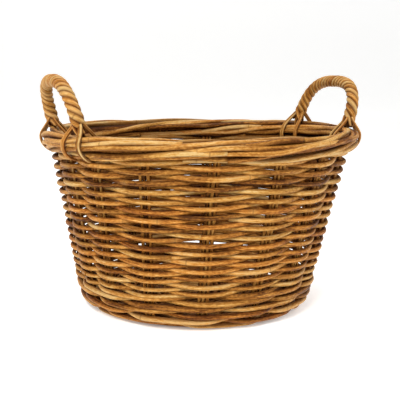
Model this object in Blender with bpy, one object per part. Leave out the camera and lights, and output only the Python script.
"""Round woven laundry basket with two rope-wrapped handles.

Metres, +Z up.  The origin is on the floor under the middle of the basket, and the handles stand on
the +X and -X sides.  Angles round the basket start at the front (-Y) and grow towards +X.

How it is built: seventeen stakes, each a flat bundle of three rods, come out of the base, turn up
round the foot and carry the wall.  One long weaver spirals up the wall, in front of one stake and
behind the next; an odd number of stakes makes each round the opposite of the round below.  The
border is a roll of hoops on both sides of the stake tops, and the handle legs stand between them.
"""
from math import asin, atan2, ceil, cos, degrees, floor, pi, radians, sin, tan

import bmesh
import bpy
from mathutils import Vector

# ---- body: the line that the stakes follow --------------------------------------------------
BODY_HEIGHT = 0.280          # floor to the crest of the border
MOUTH_RADIUS = 0.2311        # stake centre line, at the height of the crest
FOOT_RADIUS = 0.1794         # stake centre line, where the wall meets the rounded foot
CORNER_RADIUS = 0.0214       # bend of the stakes between base and wall
STAKE_LEG_END = 0.115        # how far in towards the middle the stakes run in the base

# ---- rods -----------------------------------------------------------------------------------
STAKE_ROD = 0.0058           # one of the three rods in a stake
BUNDLE_VALLEY = 0.6          # depth of the grooves between those rods, 1 is none
WEAVER = 0.0065              # wall weaver, thickness
FOOT_ROD = 0.0074            # rods of the foot, thickness
BORDER_ROD = 0.0082          # hoops of the border, thickness
ROW_GAP = 0.0004             # space between one round of weaving and the next
CLEARANCE = 0.0003           # space kept between two pieces that rest on each other
END_GAP = 0.0012             # space between the end of one weaver and the start of the next
SIDE_GAP = 4 * CLEARANCE     # space beside a handle leg or a lashing, where a rod stops or passes

# ---- layout round the basket ----------------------------------------------------------------
STAKES = 17
FIRST_STAKE = -79.6          # degrees
BAY_EXCEPTIONS = {0: 17.0, 2: 24.5, 3: 24.5}   # bays that are narrower or wider than the others
PLAIN_BAY = (360.0 - sum(BAY_EXCEPTIONS.values())) / (STAKES - len(BAY_EXCEPTIONS))
FOOT_ROUNDS = 6
WALE_PIECES = 3
WEAVER_PIECES = 11

# ---- base -----------------------------------------------------------------------------------
MAT = 0.0062                 # thickness of each woven layer of the base
SLATH_HUB = 0.036            # radius of the tied middle of the base sticks
SLATH_ARM = 0.010            # width of a base stick

# ---- border ---------------------------------------------------------------------------------
BORDER_CORE = 0.0074         # thickness of the hoop hidden in the border
BORDER_ROWS = 3
BORDER_NESTING = 1.02        # how far apart two hoops that nest lie, 1 is touching
STAKE_RISE = 1.5             # rows of the border that the stakes reach up into
HOOP_SEGMENTS = 32
CORNER_STEPS = 4             # straight steps of a stake round the foot

# ---- handles --------------------------------------------------------------------------------
HANDLE_SPAN = 0.168          # leg to leg, at the crest
HANDLE_RISE = 0.078          # from the crest to the middle of the bow, along its lean
HANDLE_LEAN = 17.0           # degrees outwards
HANDLE_SQUARENESS = 0.72     # 1 is a half ellipse, smaller is squarer
CORE_RADIUS = 0.0047         # bow rod inside the handle
ROPE_RADIUS = 0.0095         # outside of the rope wrapping
BOW_STEPS = 18
LASHING = 0.0046             # thickness of the strands that tie the handles to the border

# ---- worked-out places ----------------------------------------------------------------------
BUNDLE_HALF = 1.5 * STAKE_ROD
BUNDLE_FLAT = BUNDLE_HALF + STAKE_ROD / 6    # half of the straight stretch of a foot rod over a stake
WIDEST_BAY = max(PLAIN_BAY, *BAY_EXCEPTIONS.values())
BASE_MID = FOOT_ROD + CLEARANCE + STAKE_ROD / 2
CORNER_Z = BASE_MID + CORNER_RADIUS
LEAN = atan2(MOUTH_RADIUS - FOOT_RADIUS, BODY_HEIGHT - CORNER_Z)
CORNER_R = FOOT_RADIUS - CORNER_RADIUS / cos(LEAN)
CORNER_LENGTH = CORNER_RADIUS * (pi / 2 - LEAN)
BORDER_PITCH = BORDER_ROD + CLEARANCE
CREST_Z = BODY_HEIGHT - BORDER_ROD / 2
CORE_TOP = CREST_Z - BORDER_ROD / 2 - CLEARANCE
BORDER_FOOT = CREST_Z - BORDER_ROD / 2 - BORDER_ROWS * BORDER_PITCH + CLEARANCE
LASHING_Z = BORDER_FOOT - CLEARANCE - LASHING / 2
WEAVE_TOP = LASHING_Z - LASHING / 2 - CLEARANCE
LEG_GAP = CORE_RADIUS + CLEARANCE
LEG_ANGLE = degrees(asin(HANDLE_SPAN / 2 / MOUTH_RADIUS))
OUTER_OFFSET = LEG_GAP + BORDER_CORE + CLEARANCE + BORDER_ROD / 2
INNER_OFFSET = -(LEG_GAP + BORDER_ROD / 2)


def clear_scene():
    """Start from nothing."""
    for old in list(bpy.data.objects):
        bpy.data.objects.remove(old, do_unlink=True)


def stake_angles():
    """Angle of every stake, one bay after another."""
    angles = [FIRST_STAKE]
    for bay in range(STAKES - 1):
        angles.append(angles[-1] + BAY_EXCEPTIONS.get(bay, PLAIN_BAY))
    return angles


def centre_radius(z):
    """Radius of the stake centre line on the straight wall, at height z."""
    return FOOT_RADIUS + (z - CORNER_Z) * tan(LEAN)


def profile(s):
    """Point and outward direction in the (radius, z) plane, s metres up from the foot's lowest point.

    Negative s runs inwards along the flat base, then come the corner's arc and the leaning wall.
    """
    if s <= 0:
        return (CORNER_R + s, BASE_MID), (0.0, -1.0)
    turn = min(s, CORNER_LENGTH) / CORNER_RADIUS - pi / 2
    out = (cos(turn), sin(turn))
    rise = max(0.0, s - CORNER_LENGTH)
    r = CORNER_R + CORNER_RADIUS * out[0] + rise * sin(LEAN)
    z = CORNER_Z + CORNER_RADIUS * out[1] + rise * cos(LEAN)
    return (r, z), out


def axes(angle):
    """Radial and tangential directions at an angle round the basket."""
    a = radians(angle)
    return Vector((sin(a), -cos(a), 0)), Vector((cos(a), sin(a), 0))


def place(s, angle, out=0.0, side=0.0):
    """A point beside the stake line: out along its outward direction, side along the wall."""
    (r, z), (nr, nz) = profile(s)
    radial, tangent = axes(angle)
    return radial * (r + nr * out) + Vector((0, 0, z + nz * out)) + tangent * side


def along(s, angle):
    """Direction up the wall at s and angle."""
    _, (nr, nz) = profile(s)
    radial, _ = axes(angle)
    return radial * -nz + Vector((0, 0, nr))


def material(name, colour, roughness):
    """A plain finish for one sub-part."""
    mat = bpy.data.materials.new(name)
    mat.use_nodes = True
    shader = mat.node_tree.nodes["Principled BSDF"]
    shader.inputs["Base Color"].default_value = (*colour, 1)
    shader.inputs["Roughness"].default_value = roughness
    shader.inputs["Metallic"].default_value = 0.0
    return mat


def finish(name, bm, look):
    """Turn a bmesh into a named object with its own material."""
    bmesh.ops.recalc_face_normals(bm, faces=bm.faces)
    mesh = bpy.data.meshes.new(name)
    bm.to_mesh(mesh)
    bm.free()
    mesh.shade_smooth()
    mesh.set_sharp_from_angle(angle=radians(40))
    obj = bpy.data.objects.new(name, mesh)
    bpy.context.collection.objects.link(obj)
    mesh.materials.append(material(name, *look))
    return obj


def directions(points, closed):
    """Direction of travel at each point of a path."""
    count = len(points)
    found = []
    for i in range(count):
        before = points[i - 1] if closed or i > 0 else points[i]
        after = points[(i + 1) % count] if closed or i < count - 1 else points[i]
        found.append((after - before).normalized())
    return found


def section_rings(bm, points, ups, section, closed):
    """One ring of vertices for each path point; u of the section lies along up, v across it."""
    rings = []
    for point, way, up in zip(points, directions(points, closed), ups):
        u_axis = (up - way * up.dot(way)).normalized()
        v_axis = way.cross(u_axis)
        rings.append([bm.verts.new(point + u_axis * u + v_axis * v) for u, v in section])
    return rings


def bridge(bm, first, second, flip=False):
    """Quads between two rings of the same length."""
    count = len(first)
    for i in range(count):
        j = (i + 1) % count
        quad = [first[i], first[j], second[j], second[i]]
        bm.faces.new(reversed(quad) if flip else quad)


def sweep(points, ups, section, closed=False):
    """A solid rod: the section carried along the path, capped unless the path is closed."""
    bm = bmesh.new()
    rings = section_rings(bm, points, ups, section, closed)
    for first, second in zip(rings, rings[1:]):
        bridge(bm, first, second)
    if closed:
        bridge(bm, rings[-1], rings[0])
    else:
        bm.faces.new(rings[0])
        bm.faces.new(rings[-1])
    return bm


def polygon(radius, sides, turn=0.0):
    """A regular section with its corners at the radius."""
    steps = [turn + 2 * pi * i / sides for i in range(sides)]
    return [(radius * cos(a), radius * sin(a)) for a in steps]


def bundle_section():
    """Three rods side by side, as one outline: u across the wall, v along it."""
    half = STAKE_ROD / 2
    valley = half * BUNDLE_VALLEY
    side = [(half, STAKE_ROD), (valley, half), (half, 0), (valley, -half), (half, -STAKE_ROD)]
    ends = (0, -BUNDLE_HALF), (0, BUNDLE_HALF)
    return side + [ends[0]] + [(-u, v) for u, v in reversed(side)] + [ends[1]]


def handle_leg_angles():
    """The four places where a handle leg stands in the border."""
    return [centre + way * LEG_ANGLE for centre in (90, 270) for way in (-1, 1)]


def lashing_step():
    """Angle from a handle leg to the strands that tie it down."""
    return degrees((ROPE_RADIUS + LASHING / 2 + SIDE_GAP) / MOUTH_RADIUS)


def stake_top(angle):
    """Stakes reach the middle of the border, except under a handle's foot, where they stop short."""
    room = BUNDLE_HALF + LASHING / 2 + SIDE_GAP
    reach = lashing_step() + degrees(room / MOUTH_RADIUS)
    for leg in handle_leg_angles():
        if abs((angle - leg + 180) % 360 - 180) < reach:
            return WEAVE_TOP - STAKE_ROD / 2 * sin(LEAN)
    return BORDER_FOOT + STAKE_RISE * BORDER_PITCH


def height_to_length(z):
    """Length s up the wall at which the stake line reaches height z."""
    start = CORNER_Z - CORNER_RADIUS * sin(LEAN)
    return CORNER_LENGTH + (z - start) / cos(LEAN)


def make_stakes():
    """Bundles of three rods: in the base, round the foot, up the wall."""
    look = (0.36, 0.19, 0.07), 0.55
    corner = [CORNER_LENGTH * i / CORNER_STEPS for i in range(CORNER_STEPS + 1)]
    for number, angle in enumerate(stake_angles(), start=1):
        top = height_to_length(stake_top(angle))
        stations = [STAKE_LEG_END - CORNER_R] + corner + [top]
        points = [place(s, angle) for s in stations]
        radial, _ = axes(angle)
        ups = []
        for s in stations:
            _, (nr, nz) = profile(s)
            ups.append(radial * nr + Vector((0, 0, nz)))
        finish(f"stake_{number:02d}", sweep(points, ups, bundle_section()), look)


def cut_strand(points, ups, first, last):
    """The stretch of a strand between the middles of two of its steps, with a gap at each end."""
    gap = END_GAP / 2 / (points[1] - points[0]).length
    start = points[first].lerp(points[first + 1], 0.5 + gap)
    end = points[last].lerp(points[last + 1], 0.5 - gap)
    return [start, *points[first + 1:last + 1], end], [ups[first], *ups[first + 1:last + 1], ups[last]]


def foot_strand(angles):
    """The foot's weaving: two points at each stake, so that the rod lies flat over the bundle."""
    pitch = FOOT_ROD + ROW_GAP
    step = pi / 2 - LEAN
    sag = (CORNER_RADIUS - STAKE_ROD / 2) * (1 - cos(step / CORNER_STEPS / 2))
    lift = STAKE_ROD / 2 + CLEARANCE + FOOT_ROD / 2
    points, ups = [], []
    for p in range(FOOT_ROUNDS * STAKES):
        angle = angles[p % STAKES]
        s = pitch * (1 + p / STAKES)
        out = lift if p % 2 == 0 else -lift - sag
        for way in (-1, 1):
            points.append(place(s, angle, out, way * BUNDLE_FLAT))
            ups.append(along(s, angle))
    return points, ups, pitch * (1 + FOOT_ROUNDS)


def steepest(way):
    """Steepest tilt at which a weaver leaves a stake: way is 1 in front of it and -1 behind it."""
    tilts = []
    for bay in (PLAIN_BAY, *BAY_EXCEPTIONS.values()):
        chord = 2 * FOOT_RADIUS * sin(radians(bay / 2))
        tilts.append((2 * STAKE_ROD + WEAVER) / chord + way * radians(bay / 2))
    return max(tilts)


def wall_start(foot_end):
    """Lowest point of the wall's weaving, clear of the foot's last round.

    Rods run straight from stake to stake and so cut inside the circle.  A foot rod, flat over each
    stake, cuts in less, and where the wall leans, that difference brings the two rounds closer.
    """
    half_bay = FOOT_RADIUS * sin(radians(WIDEST_BAY / 2))
    cut_in = BUNDLE_FLAT * (2 * half_bay - BUNDLE_FLAT) / (2 * FOOT_RADIUS)
    return foot_end + (FOOT_ROD - WEAVER) / 2 + cut_in * sin(LEAN)


def wall_strand(angles, start):
    """The wall's weaving: one point at each stake, far enough out to pass the bundle's edges."""
    pitch = WEAVER + ROW_GAP
    rest = STAKE_ROD / 2 + CLEARANCE
    front, back = (rest + WEAVER / 2 / cos(tilt) + STAKE_ROD * tan(tilt)
                   for tilt in (steepest(1), steepest(-1)))
    first = FOOT_ROUNDS * STAKES
    top = height_to_length(WEAVE_TOP - WEAVER / 2) - front * tan(LEAN)
    passes = floor((top - start) / pitch * STAKES)
    points, ups = [], []
    for p in range(-1, passes + 1):
        angle = angles[(first + p) % STAKES]
        s = start + pitch * p / STAKES
        out = front if (first + p) % 2 == 0 else -back
        points.append(place(s, angle, out))
        ups.append(along(s, angle))
    return points, ups


def make_weaving():
    """The foot's rods and the wall's weavers, each cut into pieces that follow one another."""
    angles = stake_angles()
    half = FOOT_ROD / 2
    points, ups, foot_end = foot_strand(angles)
    cuts = [round(i * (len(points) - 2) / WALE_PIECES) for i in range(WALE_PIECES + 1)]
    for number, (first, last) in enumerate(zip(cuts, cuts[1:]), start=1):
        part, part_ups = cut_strand(points, ups, first, last)
        bm = sweep(part, part_ups, polygon(half, 4))
        finish(f"foot_wale_{number}", bm, ((0.46, 0.25, 0.08), 0.5))
    points, ups = wall_strand(angles, wall_start(foot_end))
    cuts = [round(i * (len(points) - 2) / WEAVER_PIECES) for i in range(WEAVER_PIECES + 1)]
    square = polygon(WEAVER / 2 / cos(pi / 4), 4, pi / 4)
    for number, (first, last) in enumerate(zip(cuts, cuts[1:]), start=1):
        part, part_ups = cut_strand(points, ups, first, last)
        bm = sweep(part, part_ups, square)
        finish(f"weaver_{number:02d}", bm, ((0.50, 0.27, 0.08), 0.45))


def hoop(radius, z, section, outside):
    """A full ring.  An outside hoop keeps its flats, an inside one its corners, at the radius."""
    reach = radius / cos(pi / HOOP_SEGMENTS) if outside else radius
    points = []
    for i in range(HOOP_SEGMENTS):
        radial, _ = axes(360.0 * i / HOOP_SEGMENTS)
        points.append(radial * reach + Vector((0, 0, z)))
    ups = [Vector((0, 0, 1))] * HOOP_SEGMENTS
    return sweep(points, ups, section, closed=True)


def make_foot_hoop():
    """The ring that the basket stands on, with a flat underside."""
    section = polygon(FOOT_ROD / 2 / cos(pi / 8), 8, pi / 8)
    bm = hoop(CORNER_R, FOOT_ROD / 2, section, True)
    finish("foot_hoop", bm, ((0.46, 0.25, 0.08), 0.5))


def make_border():
    """Hoops inside and outside the stake tops, a hidden core hoop and the crest."""
    look = (0.50, 0.27, 0.08), 0.45
    rod = polygon(BORDER_ROD / 2, 6)
    for row in range(BORDER_ROWS):
        z = BORDER_FOOT + BORDER_ROD / 2 + row * BORDER_PITCH
        outer = hoop(centre_radius(z) + OUTER_OFFSET, z, rod, True)
        finish(f"border_outer_{row + 1}", outer, look)
        inner = hoop(centre_radius(z) + INNER_OFFSET, z, rod, False)
        finish(f"border_inner_{row + 1}", inner, look)
    height = CORE_TOP - BORDER_FOOT
    low, high = -height / 2, height / 2
    slant = tan(LEAN) * height / 2
    half = BORDER_CORE / 2
    band = [(low, half - slant), (high, half + slant), (high, slant - half), (low, -half - slant)]
    middle = BORDER_FOOT + height / 2
    core = hoop(centre_radius(middle) + LEG_GAP + half, middle, band, True)
    finish("border_core", core, ((0.30, 0.16, 0.06), 0.6))
    last_row = BORDER_FOOT + BORDER_ROD / 2 + (BORDER_ROWS - 1) * BORDER_PITCH
    drop = CREST_Z - last_row
    nested = BORDER_PITCH * BORDER_NESTING
    step_in = max(0.0, nested ** 2 - drop ** 2) ** 0.5
    crest_radius = centre_radius(last_row) + OUTER_OFFSET - step_in
    finish("border_crest", hoop(crest_radius, CREST_Z, rod, True), look)
    make_crest_arcs(crest_radius - nested, rod, look)


def make_crest_arcs(radius, rod, look):
    """The inner crest rods, from one handle leg to the next."""
    legs = handle_leg_angles()
    stretches = {
        "right": (legs[0], legs[1]),
        "back": (legs[1], legs[2]),
        "left": (legs[2], legs[3]),
        "front": (legs[3], legs[0] + 360),
    }
    clear = degrees((CORE_RADIUS + SIDE_GAP) / radius)
    for name, (start, end) in stretches.items():
        start, end = start + clear, end - clear
        steps = ceil((end - start) / (360 / HOOP_SEGMENTS))
        points = []
        for i in range(steps + 1):
            radial, _ = axes(start + (end - start) * i / steps)
            points.append(radial * radius + Vector((0, 0, CREST_Z)))
        ups = [Vector((0, 0, 1))] * len(points)
        finish(f"crest_arc_{name}", sweep(points, ups, rod), look)


def make_base():
    """Two woven layers with the base sticks between them."""
    look = (0.42, 0.23, 0.08), 0.55
    radius = CORNER_R - FOOT_ROD / 2 / cos(pi / 8) - SIDE_GAP
    gap = STAKE_ROD / 2 + CLEARANCE
    for name, low in (("lower", BASE_MID - gap - MAT), ("upper", BASE_MID + gap)):
        bm = bmesh.new()
        bmesh.ops.create_cone(
            bm, cap_ends=True, segments=HOOP_SEGMENTS, radius1=radius, radius2=radius, depth=MAT)
        bmesh.ops.translate(bm, verts=bm.verts, vec=(0, 0, low + MAT / 2))
        finish(f"base_mat_{name}", bm, look)
    half = SLATH_ARM / 2
    root = degrees(asin(half / SLATH_HUB))
    tip_radius = STAKE_LEG_END - END_GAP
    outline = []
    for angle in stake_angles():
        radial, tangent = axes(angle)
        for way in (-1, 1):
            tip = radial * tip_radius + tangent * (way * half)
            shoulder = axes(angle + way * root)[0] * SLATH_HUB
            outline += [shoulder, tip] if way < 0 else [tip, shoulder]
    bm = bmesh.new()
    floor_z = Vector((0, 0, BASE_MID - STAKE_ROD / 2))
    face = bm.faces.new([bm.verts.new(point + floor_z) for point in outline])
    lifted = bmesh.ops.extrude_face_region(bm, geom=[face])["geom"]
    tops = [item for item in lifted if isinstance(item, bmesh.types.BMVert)]
    bmesh.ops.translate(bm, verts=tops, vec=(0, 0, STAKE_ROD))
    finish("base_slath", bm, ((0.36, 0.19, 0.07), 0.55))


def bow_path():
    """Centre line of the +X handle: up one leg, over the squarish bow, down the other leg."""
    lean = radians(HANDLE_LEAN)
    foot = centre_radius(BODY_HEIGHT)
    foot_x = foot * cos(radians(LEG_ANGLE))
    bow = []
    for i in range(1, BOW_STEPS):
        t = pi * i / BOW_STEPS
        across = abs(cos(t)) ** HANDLE_SQUARENESS * (1 if cos(t) > 0 else -1)
        rise = HANDLE_RISE * sin(t) ** HANDLE_SQUARENESS
        y = -HANDLE_SPAN / 2 * across
        bow.append(Vector((foot_x + rise * sin(lean), y, BODY_HEIGHT + rise * cos(lean))))
    legs = []
    rope_end = ROPE_RADIUS * sin((LEAN + lean) / 2)
    for z in (BORDER_FOOT + 2 * CLEARANCE, BODY_HEIGHT + rope_end + CLEARANCE):
        legs.append([axes(90 + way * LEG_ANGLE)[0] * centre_radius(z) + Vector((0, 0, z))
                     for way in (-1, 1)])
    near = [legs[0][0], legs[1][0]]
    far = [legs[1][1], legs[0][1]]
    return near + bow + far


def sleeve(points, ups, inner, outer):
    """A tube with a wall: outer and inner rings joined at both ends."""
    bm = bmesh.new()
    outside = section_rings(bm, points, ups, outer, False)
    inside = section_rings(bm, points, ups, inner, False)
    for rings, flip in ((outside, False), (inside, True)):
        for first, second in zip(rings, rings[1:]):
            bridge(bm, first, second, flip)
    bridge(bm, outside[0], inside[0], True)
    bridge(bm, outside[-1], inside[-1])
    return bm


def make_handles():
    """A bow rod inside a rope wrapping, on both sides."""
    lean = radians(HANDLE_LEAN)
    across = Vector((cos(lean), 0, -sin(lean)))
    for name, turn in (("right", 1), ("left", -1)):
        points = [Vector((p.x * turn, p.y * turn, p.z)) for p in bow_path()]
        up = Vector((across.x * turn, 0, across.z))
        core = sweep(points, [up] * len(points), polygon(CORE_RADIUS, 8, pi / 8))
        finish(f"handle_core_{name}", core, ((0.36, 0.19, 0.07), 0.55))
        wrapped = points[1:-1]
        bore = polygon((CORE_RADIUS + CLEARANCE) / cos(pi / 8), 8, pi / 8)
        rope = polygon(ROPE_RADIUS, 8, pi / 8)
        wrap = sleeve(wrapped, [up] * len(wrapped), bore, rope)
        finish(f"handle_wrap_{name}", wrap, ((0.50, 0.27, 0.08), 0.45))


def lashing_path(angle):
    """A loop round the whole border, in the plane of one angle, leaning with the wall."""
    facet = (MOUTH_RADIUS + OUTER_OFFSET) * (1 / cos(pi / HOOP_SEGMENTS) - 1)
    clear = BORDER_ROD / 2 + CLEARANCE + LASHING / 2
    far = OUTER_OFFSET + clear + facet
    near = INNER_OFFSET - clear - facet
    low, high = LASHING_Z, CREST_Z + clear
    bevel = clear * (2 - 2 ** 0.5)
    corners = [
        (near + bevel, low), (far - bevel, low), (far, low + bevel), (far, high - bevel),
        (far - bevel, high), (near + bevel, high), (near, high - bevel), (near, low + bevel),
    ]
    radial, _ = axes(angle)
    return [radial * (centre_radius(z) + out) + Vector((0, 0, z)) for out, z in corners]


def make_lashings():
    """Two strands at each handle leg, one on each side, tied round the border."""
    names = [f"lashing_{side}_{i}" for side in ("right", "left") for i in (1, 2, 3, 4)]
    places = [leg + way * lashing_step() for leg in handle_leg_angles() for way in (-1, 1)]
    section = polygon(LASHING / 2, 4)
    for name, angle in zip(names, places):
        _, tangent = axes(angle)
        points = lashing_path(angle)
        bm = sweep(points, [tangent] * len(points), section, closed=True)
        finish(name, bm, ((0.52, 0.29, 0.09), 0.45))


clear_scene()
make_base()
make_foot_hoop()
make_stakes()
make_weaving()
make_border()
make_handles()
make_lashings()
